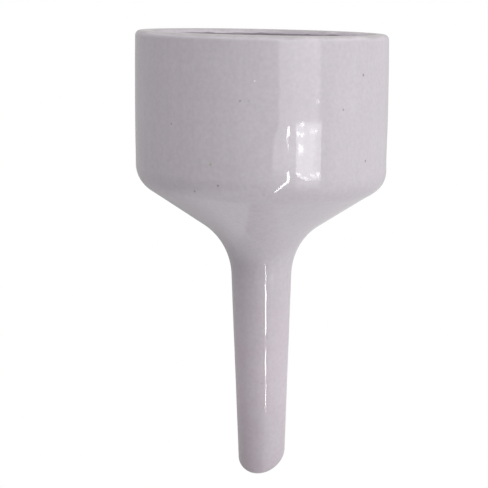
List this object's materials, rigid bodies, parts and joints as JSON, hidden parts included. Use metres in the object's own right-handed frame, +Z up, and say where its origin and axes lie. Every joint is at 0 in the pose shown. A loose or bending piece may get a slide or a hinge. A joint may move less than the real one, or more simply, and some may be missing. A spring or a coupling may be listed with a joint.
{
  "type": "buchner funnel",
  "caption": "Glazed porcelain vacuum filter funnel: straight-walled bowl over a fixed perforated plate, rounded cone below it, and a long tapered stem with an oblique tip.",
  "frame": {"origin": "on the stem's axis, in the plane where the neck's flare ends and the tapered stem begins: the top face of the bored stopper that holds the funnel", "axes": "+Z up along the stem's axis, from the tip to the rim; -Y is the front, the side on which the oblique tip is longest (within 17 degrees); +X is to the right seen from the front"},
  "size_m": [0.086, 0.086, 0.1537],
  "materials": {
    "glazed_porcelain": "thick glossy clear glaze over pale mauve-grey porcelain, with faint throwing lines, small dark specks and pin holes; matt bare porcelain on the rim"
  },
  "bodies": {
    "root": {"stem": "glazed_porcelain", "cone": "glazed_porcelain", "perforated_plate": "glazed_porcelain", "bowl_wall": "glazed_porcelain", "plate_fillet": "glazed_porcelain"}
  },
  "joints": []
}
